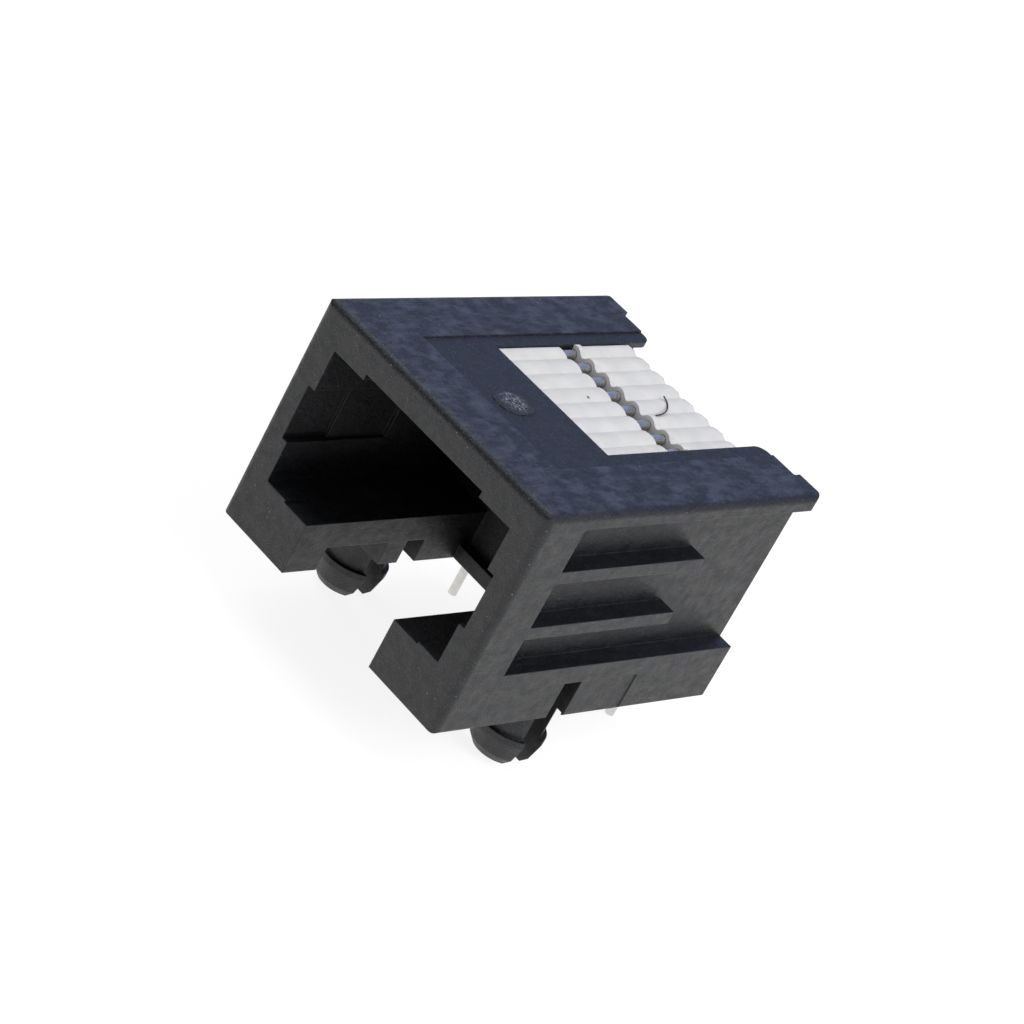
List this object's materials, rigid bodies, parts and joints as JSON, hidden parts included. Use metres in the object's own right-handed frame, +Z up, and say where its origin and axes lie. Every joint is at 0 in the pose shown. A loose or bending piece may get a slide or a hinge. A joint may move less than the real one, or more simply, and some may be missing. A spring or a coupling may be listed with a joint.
{
  "type": "modular jack",
  "caption": "Black low-profile modular jack for a circuit board, with bent wire contacts in light grey carriers, side ribs and split snap pegs.",
  "frame": {"origin": "midway between the two snap pegs, at the height of the board's top", "axes": "+Z up from the board, +Y from the plug face towards the solder tails, +X to the right seen from the plug side"},
  "size_m": [0.015, 0.0177, 0.0146],
  "materials": {
    "housing_plastic": "satin, finely grained",
    "carrier_plastic": "satin",
    "tinned_wire": "drawn, tinned"
  },
  "bodies": {
    "root": {"housing": "housing_plastic", "front_block": "carrier_plastic", "rear_block": "carrier_plastic", "contact_1": "tinned_wire", "contact_2": "tinned_wire", "contact_3": "tinned_wire", "contact_4": "tinned_wire", "contact_5": "tinned_wire", "contact_6": "tinned_wire", "contact_7": "tinned_wire", "contact_8": "tinned_wire"}
  },
  "joints": []
}
